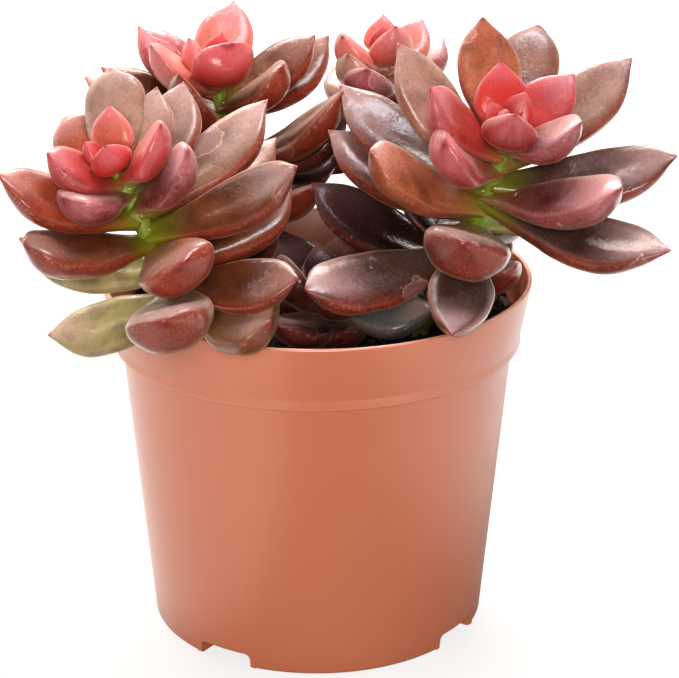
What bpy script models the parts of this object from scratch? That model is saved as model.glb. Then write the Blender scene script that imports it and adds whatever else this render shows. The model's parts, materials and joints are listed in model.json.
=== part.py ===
"""Potted ghost plant: four leafy stems and two low shoots in a round plastic pot of potting mix.

Metres, +Z up, the front towards -Y, and the ground at Z = 0 under the pot's centre.
"""

import math

import bmesh
import bpy
from mathutils import Matrix, Vector, noise

MM = 0.001

# The pot, a thin 10.5 cm nursery pot
POT_HEIGHT = 88 * MM
RIM_RADIUS = 52.5 * MM
BAND_HEIGHT = 16 * MM
BAND_FOOT_RADIUS = 49.3 * MM
BODY_TOP_RADIUS = 47.8 * MM
FOOT_RADIUS = 41.1 * MM
WALL = 1.2 * MM
FLOOR = 1.5 * MM
LIP = 0.35 * MM
POT_SEGMENTS = 64

# The drains: four channels under the floor, each with a hole and ending in a notch in the foot
DRAINS = 4
FIRST_DRAIN = -123
DRAIN_WIDTH = 14.4 * MM
DRAIN_HEIGHT = 3.7 * MM
DRAIN_CORNER = 1.4 * MM
DRAIN_INNER = 17 * MM
DRAIN_WALL = 1.4 * MM
DRAIN_HOLE_RADIUS = 4 * MM
DRAIN_HOLE_AT = 29 * MM

# The potting mix, and the room left between pieces
MIX_TOP = 77 * MM
MIX_BUMPS = 0.8 * MM
MIX_BUMP_SIZE = 9 * MM
MIX_SEGMENTS = 32
GAP = 0.3 * MM

# The stems
STEM_ROOT = -17 * MM
STEM_FOOT_RADIUS = 3.3 * MM
STEM_CROWN_RADIUS = 1.7 * MM
STEM_STEPS = 4
HOLE_SIDES = 16

# The leaves: fleshy, widest past the middle, flatter above than below, with a sharp point
LEAF_WIDEST = 16.5 * MM
LEAF_WIDTH_GROWTH = 13 * MM
LEAF_DEPTH = 0.52
LEAF_UPPER_SHARE = 0.34
LEAF_FOOT_WIDTH = 0.36
LEAF_FOOT_DEPTH = 0.5
LEAF_BELLY = 0.58
LEAF_SAG = 0.08
LEAF_SUNK = 1 * MM
LEAF_SIDES = 6
LEAF_STATIONS = (0, 0.2, 0.42, 0.62, 0.8, 0.93)
NODE_CROWDING = 1.5

POT_COLOUR = (0.55, 0.16, 0.08, 1)
MIX_COLOUR = (0.02, 0.015, 0.012, 1)
LEAF_COLOUR = (0.3, 0.13, 0.11, 1)

# Each leafy stem: its foot on the mix, the points it passes through from there to its crown, the
# way the crown faces, how far below the crown its oldest leaf grows, and its leaves from the newest
# to the oldest. A leaf is its heading (0 is +X, 90 is +Y), its rise above level and its length,
# then how stout it is where that isn't 1. Lengths are in mm and angles in degrees.
STEMS = {
    "stem_front_right": dict(
        foot=(24, -12),
        path=((0, 0, 2), (7, -5, 15), (15, -10, 35), (20, -15, 55)),
        faces=(0.15, -0.5, 0.85),
        lowest=38,
        leaves=(
            (-95, 55, 6), (90, 20, 10), (40, 30, 13), (-120, 70, 20), (-85, 35, 14), (30, 40, 22),
            (-40, 25, 23), (100, 60, 31), (-155, 45, 26), (70, 40, 38), (30, 30, 41), (-130, 30, 24),
            (160, 50, 37), (-5, 10, 42), (145, 20, 47), (-40, 15, 38), (-30, -5, 46),
            (-155, 30, 33), (150, 20, 43), (35, 5, 36), (-95, 10, 28, 1.4), (70, 0, 37),
            (-95, -15, 38), (-145, 0, 45), (105, 25, 36), (150, 20, 41),
        ),
    ),
    "stem_front_left": dict(
        foot=(-14, -26),
        path=((0, 0, 2), (-13, -14, 16), (-22, -18, 33), (-31, -17, 52)),
        faces=(-0.25, -0.45, 0.85),
        lowest=40,
        leaves=(
            (-150, 40, 8), (95, 75, 14), (-95, 40, 11), (130, 20, 21), (100, 50, 25), (-45, 45, 20),
            (-150, 30, 20), (60, 55, 24), (-130, 10, 19), (65, 35, 34), (-35, 45, 22), (35, 30, 40),
            (-160, 25, 34), (45, 15, 43), (-15, 30, 40), (-145, 10, 32), (-70, 10, 23, 1.3),
            (90, 15, 37), (40, 15, 39), (165, 5, 36), (-25, 10, 32), (-95, 5, 30, 1.3),
            (170, -20, 34), (-40, 5, 26, 1.2), (60, 30, 35),
        ),
    ),
    "stem_back_left": dict(
        foot=(-10, 14),
        path=((0, 0, 2), (-4, 3, 21), (-11, 8, 39), (-16, 10, 55)),
        faces=(0.05, -0.35, 0.93),
        lowest=36,
        leaves=(
            (40, 70, 10), (-140, 55, 12), (80, 35, 25), (-75, 45, 18, 1.2), (-145, 35, 22),
            (145, 30, 27), (15, 30, 28), (-35, 35, 23), (45, 20, 38), (165, 20, 34), (-120, 40, 30),
            (160, 15, 42), (95, 20, 34), (-35, 35, 38), (-10, 30, 30), (20, 5, 24), (-90, 15, 30),
            (-55, 20, 26), (130, 0, 32),
        ),
    ),
    "stem_back_middle": dict(
        foot=(12, 20),
        path=((0, 0, 2), (1, 4, 21), (3, 8, 41), (4.5, 9, 58)),
        faces=(0, -0.35, 0.93),
        lowest=26,
        leaves=(
            (90, 70, 7), (95, 60, 11), (-80, 45, 16), (-135, 35, 18), (55, 30, 19), (50, 10, 26),
            (-125, 35, 19), (-105, 30, 22), (115, 5, 26), (60, 5, 24), (-110, 30, 19),
            (-75, 35, 26), (85, 20, 34), (-95, 20, 24), (140, 5, 26),
        ),
    ),
    "shoot_centre": dict(
        foot=(5, -18),
        path=((0, 0, 2), (0, -2, 6), (-1, -4, 10), (-2, -5, 14)),
        faces=(0, -0.3, 0.95),
        lowest=11,
        leaves=(
            (75, 30, 10), (100, 30, 16), (-75, 10, 14), (80, 20, 24), (-15, 0, 25), (115, 20, 29),
            (-135, 45, 22), (-120, 10, 25), (-105, 5, 17), (125, 15, 34), (25, 25, 20),
            (-80, 15, 14),
        ),
    ),
    "shoot_right": dict(
        foot=(37, 8),
        path=((0, 0, 2), (0, -2, 5), (0, -4, 8), (-1, -6, 11)),
        faces=(0, -0.2, 1),
        lowest=8,
        leaves=((80, 40, 10), (-50, 20, 20), (95, 0, 19), (60, 30, 20), (-115, 25, 21), (-80, 15, 16)),
    ),
}


def material(name, colour, roughness):
    made = bpy.data.materials.new(name)
    made.use_nodes = True
    shader = made.node_tree.nodes["Principled BSDF"]
    shader.inputs["Base Color"].default_value = colour
    shader.inputs["Roughness"].default_value = roughness
    shader.inputs["Metallic"].default_value = 0
    return made


def object_of(name, shape):
    """An object from a bmesh, with its faces turned outwards."""
    bmesh.ops.recalc_face_normals(shape, faces=shape.faces)
    mesh = bpy.data.meshes.new(name)
    shape.to_mesh(mesh)
    shape.free()
    made = bpy.data.objects.new(name, mesh)
    bpy.context.scene.collection.objects.link(made)
    return made


def finish(made, surface, parent, crease=35):
    """Gives a piece its material, its smooth shading and its place in the plant."""
    made.data.materials.clear()
    made.data.materials.append(surface)
    made.data.shade_smooth()
    made.data.set_sharp_from_angle(angle=math.radians(crease))
    made.parent = parent


def turned(name, profile, segments):
    """A profile of (radius, height) spun about Z. It starts and ends on the axis."""
    shape = bmesh.new()
    corners = [shape.verts.new((radius, 0, height)) for radius, height in profile]
    edges = [shape.edges.new(pair) for pair in zip(corners, corners[1:])]
    bmesh.ops.spin(
        shape, geom=corners + edges, cent=(0, 0, 0), axis=(0, 0, 1), angle=2 * math.pi,
        steps=segments, use_merge=True,
    )
    bmesh.ops.remove_doubles(shape, verts=shape.verts, dist=0.01 * MM)
    return object_of(name, shape)


def bar(name, section, start, end, heading):
    """A bar along a heading from the axis, with a section of (across, height)."""
    shape = bmesh.new()
    face = shape.faces.new([shape.verts.new((start, across, height)) for across, height in section])
    grown = bmesh.ops.extrude_face_region(shape, geom=[face])["geom"]
    far = [item for item in grown if isinstance(item, bmesh.types.BMVert)]
    bmesh.ops.translate(shape, verts=far, vec=(end - start, 0, 0))
    bmesh.ops.rotate(shape, verts=shape.verts, matrix=Matrix.Rotation(math.radians(heading), 3, "Z"))
    return object_of(name, shape)


def peg(name, x, y, radius, low, high):
    """An upright cylinder."""
    shape = bmesh.new()
    bmesh.ops.create_cone(
        shape, cap_ends=True, segments=HOLE_SIDES, radius1=radius, radius2=radius, depth=high - low,
        matrix=Matrix.Translation((x, y, (low + high) / 2)),
    )
    return object_of(name, shape)


def largest_shell(mesh):
    """The mesh without the crumbs and small hollows that a union can leave where many pieces meet."""
    shape = bmesh.new()
    shape.from_mesh(mesh)
    bmesh.ops.triangulate(shape, faces=shape.faces)
    left, shells = set(shape.faces), []
    while left:
        shell, fresh = [], [left.pop()]
        while fresh:
            face = fresh.pop()
            shell.append(face)
            whole = [edge for edge in face.edges if len(edge.link_faces) == 2]
            near = {other for edge in whole for other in edge.link_faces} & left
            left -= near
            fresh += near
        shells.append(shell)
    shells.sort(key=len)
    for shell in shells[:-1]:
        bmesh.ops.delete(shape, geom=shell, context="FACES")
    shape.to_mesh(mesh)
    shape.free()
    return mesh


def boolean(target, others, operation, solver="EXACT"):
    """Joins the others to the target, or cuts them from it, in one go, and removes them."""
    group = bpy.data.collections.new("others")
    for other in others:
        bpy.context.scene.collection.objects.unlink(other)
        group.objects.link(other)
    step = target.modifiers.new("boolean", "BOOLEAN")
    step.operation = operation
    step.solver = solver
    step.operand_type = "COLLECTION"
    step.collection = group
    graph = bpy.context.evaluated_depsgraph_get()
    mesh = bpy.data.meshes.new_from_object(target.evaluated_get(graph))
    target.modifiers.clear()
    target.data = largest_shell(mesh)
    for other in list(group.objects):
        bpy.data.objects.remove(other)
    bpy.data.collections.remove(group)


def band_radius(height):
    """The outside of the rim band."""
    share = (height - POT_HEIGHT + BAND_HEIGHT) / BAND_HEIGHT
    return BAND_FOOT_RADIUS + (RIM_RADIUS - BAND_FOOT_RADIUS) * share


def body_radius(height):
    """The outside of the pot below its band."""
    return FOOT_RADIUS + (BODY_TOP_RADIUS - FOOT_RADIUS) * height / (POT_HEIGHT - BAND_HEIGHT)


def drain_section(grow):
    """The drain's outline as (across, height), grown outwards."""
    half = DRAIN_WIDTH / 2 + grow
    top = DRAIN_HEIGHT + grow
    bend = DRAIN_CORNER * 0.3
    foot = GAP if grow else -1 * MM
    return (
        (-half, foot), (half, foot), (half, top - DRAIN_CORNER), (half - bend, top - bend),
        (half - DRAIN_CORNER, top), (DRAIN_CORNER - half, top), (bend - half, top - bend),
        (-half, top - DRAIN_CORNER),
    )


def drains(name, grow, end):
    """The four drains as bars, grown outwards, from their inner ends to a radius."""
    return [
        bar(name, drain_section(grow), DRAIN_INNER - grow, end, FIRST_DRAIN + 360 / DRAINS * i)
        for i in range(DRAINS)
    ]


def make_pot():
    ledge = POT_HEIGHT - BAND_HEIGHT
    shoulder = POT_HEIGHT - 2 * LIP
    cove = 2 * FLOOR
    pot = turned("pot", (
        (0, 0),
        (FOOT_RADIUS - 2 * LIP, 0),
        (body_radius(LIP) - LIP / 2, LIP),
        (body_radius(3 * LIP), 3 * LIP),
        (BODY_TOP_RADIUS, ledge),
        (BAND_FOOT_RADIUS - LIP, ledge),
        (BAND_FOOT_RADIUS, ledge + LIP),
        (band_radius(shoulder), shoulder),
        (RIM_RADIUS - LIP, POT_HEIGHT),
        (RIM_RADIUS - WALL + LIP, POT_HEIGHT),
        (band_radius(shoulder) - WALL, shoulder),
        (band_radius(ledge + WALL) - WALL, ledge + WALL),
        (BODY_TOP_RADIUS - WALL, ledge),
        (body_radius(cove) - WALL, cove),
        (body_radius(FLOOR) - 2 * WALL, FLOOR),
        (0, FLOOR),
    ), POT_SEGMENTS)
    boolean(pot, drains("roof", DRAIN_WALL, FOOT_RADIUS - WALL / 2), "UNION")
    cuts = drains("channel", 0, RIM_RADIUS)
    for i in range(DRAINS):
        heading = math.radians(FIRST_DRAIN + 360 / DRAINS * i)
        x, y = DRAIN_HOLE_AT * math.cos(heading), DRAIN_HOLE_AT * math.sin(heading)
        cuts.append(peg("hole", x, y, DRAIN_HOLE_RADIUS, DRAIN_HEIGHT / 2, 2 * DRAIN_HEIGHT))
    boolean(pot, cuts, "DIFFERENCE")
    return pot


def make_mix():
    ledge = POT_HEIGHT - BAND_HEIGHT
    cove = 2 * FLOOR
    room = WALL + GAP
    edge = band_radius(MIX_TOP) - room
    mix = turned("potting_mix", (
        (0, FLOOR + GAP),
        (body_radius(FLOOR) - 2 * WALL - GAP, FLOOR + GAP),
        (body_radius(cove) - room, cove + GAP),
        (BODY_TOP_RADIUS - room, ledge + GAP),
        (band_radius(ledge + WALL) - room, ledge + room),
        (edge, MIX_TOP),
        (edge * 0.75, MIX_TOP),
        (edge * 0.4, MIX_TOP),
        (0, MIX_TOP),
    ), MIX_SEGMENTS)
    for vertex in mix.data.vertices:
        if vertex.co.z > MIX_TOP - GAP and vertex.co.xy.length < edge - GAP:
            vertex.co.z += MIX_BUMPS * noise.noise(vertex.co / MIX_BUMP_SIZE)
    cuts = drains("roof", DRAIN_WALL + GAP, RIM_RADIUS)
    for stem in STEMS.values():
        x, y = Vector(stem["foot"]) * MM
        low = MIX_TOP + STEM_ROOT - GAP
        cuts.append(peg("hole", x, y, STEM_FOOT_RADIUS + GAP, low, POT_HEIGHT))
    boolean(mix, cuts, "DIFFERENCE")
    return mix


def smooth_path(marks):
    """Points along a smooth curve through the marks."""
    marks = [2 * marks[0] - marks[1], *marks, 2 * marks[-1] - marks[-2]]
    points = []
    for a, b, c, d in zip(marks, marks[1:], marks[2:], marks[3:]):
        for k in range(STEM_STEPS):
            s = k / STEM_STEPS
            slope, bend, twist = c - a, 2 * a - 5 * b + 4 * c - d, 3 * b - a - 3 * c + d
            points.append((2 * b + slope * s + bend * s**2 + twist * s**3) / 2)
    points.append(marks[-2])
    return points


def below_crown(points, drop):
    """The point on the stem this far below its crown."""
    for upper, lower in zip(points[::-1], points[-2::-1]):
        step = (upper - lower).length
        if drop <= step:
            return upper.lerp(lower, drop / step)
        drop -= step
    return points[0]


def stem_tube(name, points):
    """A round stem from its root in the mix to its crown, thinner at the top."""
    curve = bpy.data.curves.new(name, "CURVE")
    curve.dimensions = "3D"
    curve.bevel_depth = STEM_FOOT_RADIUS
    curve.bevel_resolution = 2
    curve.use_fill_caps = True
    line = curve.splines.new("POLY")
    line.points.add(len(points))
    line.points[0].co = (0, 0, STEM_ROOT, 1)
    thinning = 1 - STEM_CROWN_RADIUS / STEM_FOOT_RADIUS
    for k, point in enumerate(points):
        line.points[k + 1].co = (*point, 1)
        line.points[k + 1].radius = 1 - thinning * k / (len(points) - 1)
    guide = bpy.data.objects.new(name, curve)
    shape = bmesh.new()
    shape.from_mesh(guide.to_mesh())
    bmesh.ops.remove_doubles(shape, verts=shape.verts, dist=0.001 * MM)
    guide.to_mesh_clear()
    bpy.data.objects.remove(guide)
    return object_of(name, shape)


def smooth(share):
    share = min(max(share, 0), 1)
    return share * share * (3 - 2 * share)


def leaf_section(share):
    """How wide and how deep a leaf is at a share of its length, as shares of its most."""
    wide = LEAF_FOOT_WIDTH + (1 - LEAF_FOOT_WIDTH) * smooth(share / LEAF_BELLY)
    deep = LEAF_FOOT_DEPTH + (1 - LEAF_FOOT_DEPTH) * smooth(share * 2)
    if share > LEAF_BELLY:
        wide = 1 - ((share - LEAF_BELLY) / (1 - LEAF_BELLY)) ** 2.2
    if share > 0.5:
        deep = 1 - (share * 2 - 1) ** 2.4
    return wide, deep


def make_leaf(foot, faces, heading, rise, length, stout=1):
    """One leaf from its foot on the stem. Its upper side turns the way that the crown faces."""
    heading, rise, length = math.radians(heading), math.radians(rise), length * MM
    level = Vector((math.cos(heading), math.sin(heading), 0))
    along = level * math.cos(rise) + Vector((0, 0, math.sin(rise)))
    up = (faces - faces.dot(along) * along).normalized()
    side = along.cross(up)
    width = stout * LEAF_WIDEST * (1 - math.exp(-length / LEAF_WIDTH_GROWTH))
    shape = bmesh.new()
    rings = []
    for share in LEAF_STATIONS:
        wide, deep = leaf_section(share)
        sag = LEAF_SAG * length * 4 * share * (1 - share)
        middle = foot + along * (length * share - LEAF_SUNK * (1 - share)) - up * sag
        ring = []
        for i in range(LEAF_SIDES):
            turn = 2 * math.pi * i / LEAF_SIDES
            thick = LEAF_UPPER_SHARE if math.sin(turn) > 0 else 1 - LEAF_UPPER_SHARE
            across = side * width / 2 * wide * math.cos(turn)
            above = up * width * LEAF_DEPTH * thick * deep * math.sin(turn)
            ring.append(shape.verts.new(middle + across + above))
        rings.append(ring)
    shape.faces.new(rings[0])
    for low, high in zip(rings, rings[1:]):
        for i in range(LEAF_SIDES):
            shape.faces.new((low[i - 1], low[i], high[i], high[i - 1]))
    tip = shape.verts.new(foot + along * length)
    for i in range(LEAF_SIDES):
        shape.faces.new((rings[-1][i - 1], rings[-1][i], tip))
    return object_of("leaf", shape)


def make_stem(name, foot, path, faces, lowest, leaves):
    points = smooth_path([Vector(mark) * MM for mark in path])
    stem = stem_tube(name, points)
    grown = []
    for i, leaf in enumerate(leaves):
        drop = lowest * MM * (i / (len(leaves) - 1)) ** NODE_CROWDING
        grown.append(make_leaf(below_crown(points, drop), Vector(faces), *leaf))
    boolean(stem, grown, "UNION", "MANIFOLD")
    stem.location = (foot[0] * MM, foot[1] * MM, MIX_TOP)
    return stem


def main():
    for old in list(bpy.data.objects):
        bpy.data.objects.remove(old)
    plant = bpy.data.objects.new("potted_ghost_plant", None)
    bpy.context.scene.collection.objects.link(plant)
    finish(make_pot(), material("terracotta plastic", POT_COLOUR, 0.4), plant)
    finish(make_mix(), material("potting mix", MIX_COLOUR, 0.95), plant)
    for name, stem in STEMS.items():
        finish(make_stem(name, **stem), material(name + " leaves", LEAF_COLOUR, 0.45), plant, 50)


main()
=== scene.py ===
"""The potted ghost plant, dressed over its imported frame: pot, potting mix, stalks and leaves.

Metres, +Z up, the front towards -Y and the ground at Z = 0, as in the frame.
"""

import json
import math
import random

import bmesh
import bpy
from bpy.props import FloatProperty, FloatVectorProperty, IntProperty, PointerProperty
from mathutils import Matrix, Vector, noise

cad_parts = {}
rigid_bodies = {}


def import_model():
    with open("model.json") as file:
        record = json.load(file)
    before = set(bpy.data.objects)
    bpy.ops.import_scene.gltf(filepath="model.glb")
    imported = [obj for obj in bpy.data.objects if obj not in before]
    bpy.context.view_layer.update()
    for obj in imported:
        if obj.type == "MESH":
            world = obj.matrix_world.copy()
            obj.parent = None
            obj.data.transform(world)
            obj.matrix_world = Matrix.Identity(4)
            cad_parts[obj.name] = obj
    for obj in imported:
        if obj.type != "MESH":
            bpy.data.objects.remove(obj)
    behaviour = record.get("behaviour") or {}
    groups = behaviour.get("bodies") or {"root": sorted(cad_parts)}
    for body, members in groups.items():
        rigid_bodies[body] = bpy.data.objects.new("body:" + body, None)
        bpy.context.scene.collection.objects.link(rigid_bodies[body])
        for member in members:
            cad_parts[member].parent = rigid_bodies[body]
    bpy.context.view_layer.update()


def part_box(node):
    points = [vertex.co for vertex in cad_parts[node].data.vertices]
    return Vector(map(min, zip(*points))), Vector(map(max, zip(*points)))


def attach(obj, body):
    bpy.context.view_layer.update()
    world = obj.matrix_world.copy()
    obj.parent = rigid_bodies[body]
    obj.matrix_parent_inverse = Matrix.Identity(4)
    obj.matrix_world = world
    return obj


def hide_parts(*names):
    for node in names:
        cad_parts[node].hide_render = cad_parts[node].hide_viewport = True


bl_info = {
    "name": "Potted ghost plant",
    "version": (1, 0, 0),
    "blender": (4, 5, 0),
    "location": "3D View > Sidebar > Ghost Plant",
    "description": "Builds the pot, the mix, the stalks and the leaves over the packed frame",
    "category": "Object",
}

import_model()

MM = 0.001

# What the frame settles: the pot's height and rim, and where the mix lies
POT_LOW, POT_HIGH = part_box("pot")
POT_HEIGHT = POT_HIGH[2]
RIM_RADIUS = (POT_HIGH[0] - POT_LOW[0]) / 2
GAP = 0.3 * MM
MIX_TOP = 77 * MM

# The leaves' rule, as in the solids
LEAF_FOOT_WIDTH = 0.36
LEAF_FOOT_DEPTH = 0.5
LEAF_UPPER_SHARE = 0.34
STEM_STEPS = 12

# The forms of bud, half-grown, grown and blunt leaves: where each is widest as a share of its length, how
# blunt its end is, how deep the channel above and how high the keel below
LEAF_FORMS = (
    (0.45, 1.9, 0.1, 0.1), (0.55, 2.5, 0.15, 0.12), (0.6, 2.6, 0.4, 0.08), (0.55, 5.2, 0.15, 0.14),
)
LONGEST_BUD = 17
LONGEST_HALF_GROWN = 30

# Each leafy stem: its foot on the mix, the points it passes through from there to its crown, the
# way the crown faces, how far below the crown its oldest leaf grows, how green its leaves' feet
# are, its leaves from the newest to the oldest, and a letter for each leaf's tone. A leaf is its
# heading (0 is +X, 90 is +Y), its rise above level and its length, then how stout it is where
# that isn't 1. A leaf whose form doesn't follow from its length is named by its place, the newest
# being 0, with its form's place in LEAF_FORMS. Lengths are in mm and angles in degrees.
# The tone d, maroon, is painted shade, given to the leaves that sit in shadow deep in a rosette.
STEMS = {
    "stem_front_right": dict(
        foot=(24, -12),
        path=((0, 0, 2), (7, -5, 15), (15, -10, 35), (20, -15, 55)),
        faces=(0.15, -0.5, 0.85),
        lowest=38,
        sap=0.8,
        leaves=(
            (-95, 55, 6), (160, 55, 8), (35, 60, 10), (100, 65, 17, 1.15), (-85, 35, 16, 1.1), (30, 40, 22),
            (-40, 25, 23), (100, 60, 31), (-155, 45, 26), (70, 40, 38), (30, 30, 41), (-130, 30, 24),
            (160, 50, 37), (-5, 10, 42), (145, 20, 47), (-40, 15, 38), (-30, -5, 46),
            (-155, 30, 33), (150, 20, 43), (35, 5, 36), (-95, 10, 28, 1.4), (70, 0, 37),
            (-95, -15, 38), (-145, 0, 45), (105, 25, 36), (150, 20, 41),
        ),
        tones="ccccrrlornnremmlmomgmdmmdd",
        shaped={9: 3, 11: 3, 15: 3, 17: 3, 20: 3, 22: 0, 23: 3},
    ),
    "stem_front_left": dict(
        foot=(-14, -26),
        path=((0, 0, 2), (-13, -14, 16), (-22, -18, 33), (-31, -17, 52)),
        faces=(-0.25, -0.45, 0.85),
        lowest=40,
        sap=1,
        leaves=(
            (-150, 40, 8), (95, 75, 12.5), (-95, 40, 11), (130, 20, 21), (100, 50, 25), (-45, 45, 20),
            (-150, 30, 20), (60, 55, 24), (-130, 10, 19), (65, 35, 34), (-35, 45, 22), (35, 30, 40),
            (-160, 25, 34), (45, 15, 43), (-15, 30, 40), (-145, 10, 32), (-70, 10, 23, 1.3),
            (90, 15, 37), (40, 15, 39), (165, 5, 36), (-25, 10, 32), (-95, 5, 30, 1.3),
            (170, -20, 34), (-40, 5, 26, 1.2), (60, 30, 35),
        ),
        tones="ckcsecrelnlnsbbbsgbgbngpd",
        shaped={3: 3, 4: 3, 8: 3, 10: 3, 15: 3, 16: 3, 21: 3, 23: 3},
    ),
    "stem_back_left": dict(
        foot=(-10, 14),
        path=((0, 0, 2), (-4, 3, 21), (-11, 8, 39), (-16, 10, 55)),
        faces=(0.05, -0.35, 0.93),
        lowest=36,
        sap=0.4,
        leaves=(
            (40, 70, 10), (-140, 55, 12), (80, 35, 25), (-75, 45, 18, 1.2), (-145, 35, 22),
            (145, 30, 27), (15, 30, 28), (-35, 35, 23), (45, 20, 38), (165, 20, 34), (-120, 40, 30),
            (160, 15, 42), (95, 20, 34), (-35, 35, 38), (-10, 30, 30), (20, 5, 24), (-90, 15, 30),
            (-55, 20, 26), (130, 0, 32),
        ),
        tones="ckkckrbbbbbobbdddbb",
        shaped={3: 3, 7: 3},
    ),
    "stem_back_middle": dict(
        foot=(12, 20),
        path=((0, 0, 2), (1, 4, 21), (3, 8, 41), (4.5, 9, 58)),
        faces=(0, -0.35, 0.93),
        lowest=26,
        sap=0.4,
        leaves=(
            (90, 70, 7), (95, 60, 11), (-80, 45, 16), (-135, 35, 18), (55, 30, 19), (50, 10, 26),
            (-125, 35, 19), (-105, 30, 22), (115, 5, 26), (60, 5, 24), (-110, 30, 19),
            (-75, 35, 26), (85, 20, 34), (-95, 20, 24), (140, 5, 26),
        ),
        tones="ckkkklelebbdbdb",
        shaped={},
    ),
    "shoot_centre": dict(
        foot=(5, -18),
        path=((0, 0, 2), (0, -2, 6), (-1, -4, 10), (-2, -5, 14)),
        faces=(0, -0.3, 0.95),
        lowest=11,
        sap=0.2,
        leaves=(
            (75, 30, 10), (100, 30, 16), (-75, 10, 14), (80, 20, 24), (-15, 0, 25), (115, 20, 29),
            (-135, 45, 22), (-120, 10, 25), (-105, 5, 17), (125, 15, 34), (25, 25, 20),
            (-80, 15, 14),
        ),
        tones="dddbtddddddd",
        shaped={6: 3},
    ),
    "shoot_right": dict(
        foot=(37, 8),
        path=((0, 0, 2), (0, -2, 5), (0, -4, 8), (-1, -6, 11)),
        faces=(0, -0.2, 1),
        lowest=8,
        sap=0.3,
        leaves=((80, 40, 10), (-50, 20, 20), (95, 0, 19), (60, 30, 20), (-115, 25, 21), (-80, 15, 16)),
        tones="bmbmmd",
        shaped={},
    ),
}


def linear(code):
    """A colour code such as C47052 as linear red, green, blue and alpha."""
    shares = [int(code[i:i + 2], 16) / 255 for i in (0, 2, 4)]
    return (*(s / 12.92 if s <= 0.04045 else ((s + 0.055) / 1.055) ** 2.4 for s in shares), 1)


def tint(name, description, code):
    return FloatVectorProperty(
        name=name, description=description, default=linear(code), size=4, min=0, max=1, subtype="COLOR"
    )


def length(name, description, default):
    return FloatProperty(
        name=name, description=description, default=default, min=0, unit="LENGTH", subtype="DISTANCE",
        precision=4,
    )


def share(name, description, default, highest=1):
    return FloatProperty(
        name=name, description=description, default=default, min=0, max=highest, subtype="FACTOR"
    )


class GhostPlantPot(bpy.types.PropertyGroup):
    height: length("Height", "From the ground to the rim", POT_HEIGHT)
    rim_radius: length("Rim radius", "Outside of the rim", RIM_RADIUS)
    band_height: length("Band height", "Height of the band under the rim", 16 * MM)
    band_foot_radius: length("Band foot radius", "Outside of the band at its foot", 49.3 * MM)
    body_top_radius: length("Body top radius", "Outside of the body under the band", 47.8 * MM)
    foot_radius: length("Foot radius", "Outside of the body at the ground", 41.1 * MM)
    bead: length("Bead", "How far the bead at the band's foot stands out", 0.5 * MM)
    wall: length("Wall", "Thickness of the wall", 1.2 * MM)
    floor: length("Floor", "Thickness of the floor", 1.5 * MM)
    segments: IntProperty(name="Segments", description="Faces round the pot", default=192, min=32)
    drain_width: length("Drain width", "Width of the channels under the floor", 14.4 * MM)
    drain_height: length("Drain height", "Height of the channels under the floor", 3.7 * MM)
    drain_roof: length("Drain roof", "Thickness of the wall over a channel", 1.4 * MM)
    drain_inner: length("Drain inner end", "From the axis to a channel's end", 17 * MM)
    hole_radius: length("Hole radius", "Radius of each drain hole", 4 * MM)
    hole_at: length("Hole place", "From the axis to a drain hole", 29 * MM)
    colour: tint("Colour", "The plastic's own colour", "D68262")
    # Pale is the colour of the dust, and of the painted highlights along the rim's top and the bead.
    pale: tint("Pale", "The plastic where it is rubbed", "E4B49C")
    roughness: share("Roughness", "How matt the plastic is", 0.3)


class GhostPlantMix(bpy.types.PropertyGroup):
    crumbs: IntProperty(name="Crumbs", description="Crumbs per square metre", default=520000, min=0)
    crumb_size: length("Crumb size", "Width of an average crumb", 2.1 * MM)
    seed: IntProperty(name="Seed", description="Where the crumbs fall", default=11, min=0)
    dark: tint("Dark", "Damp peat", "120D0B")
    light: tint("Light", "Dry crumbs and fibres", "4E3A2A")


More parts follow.
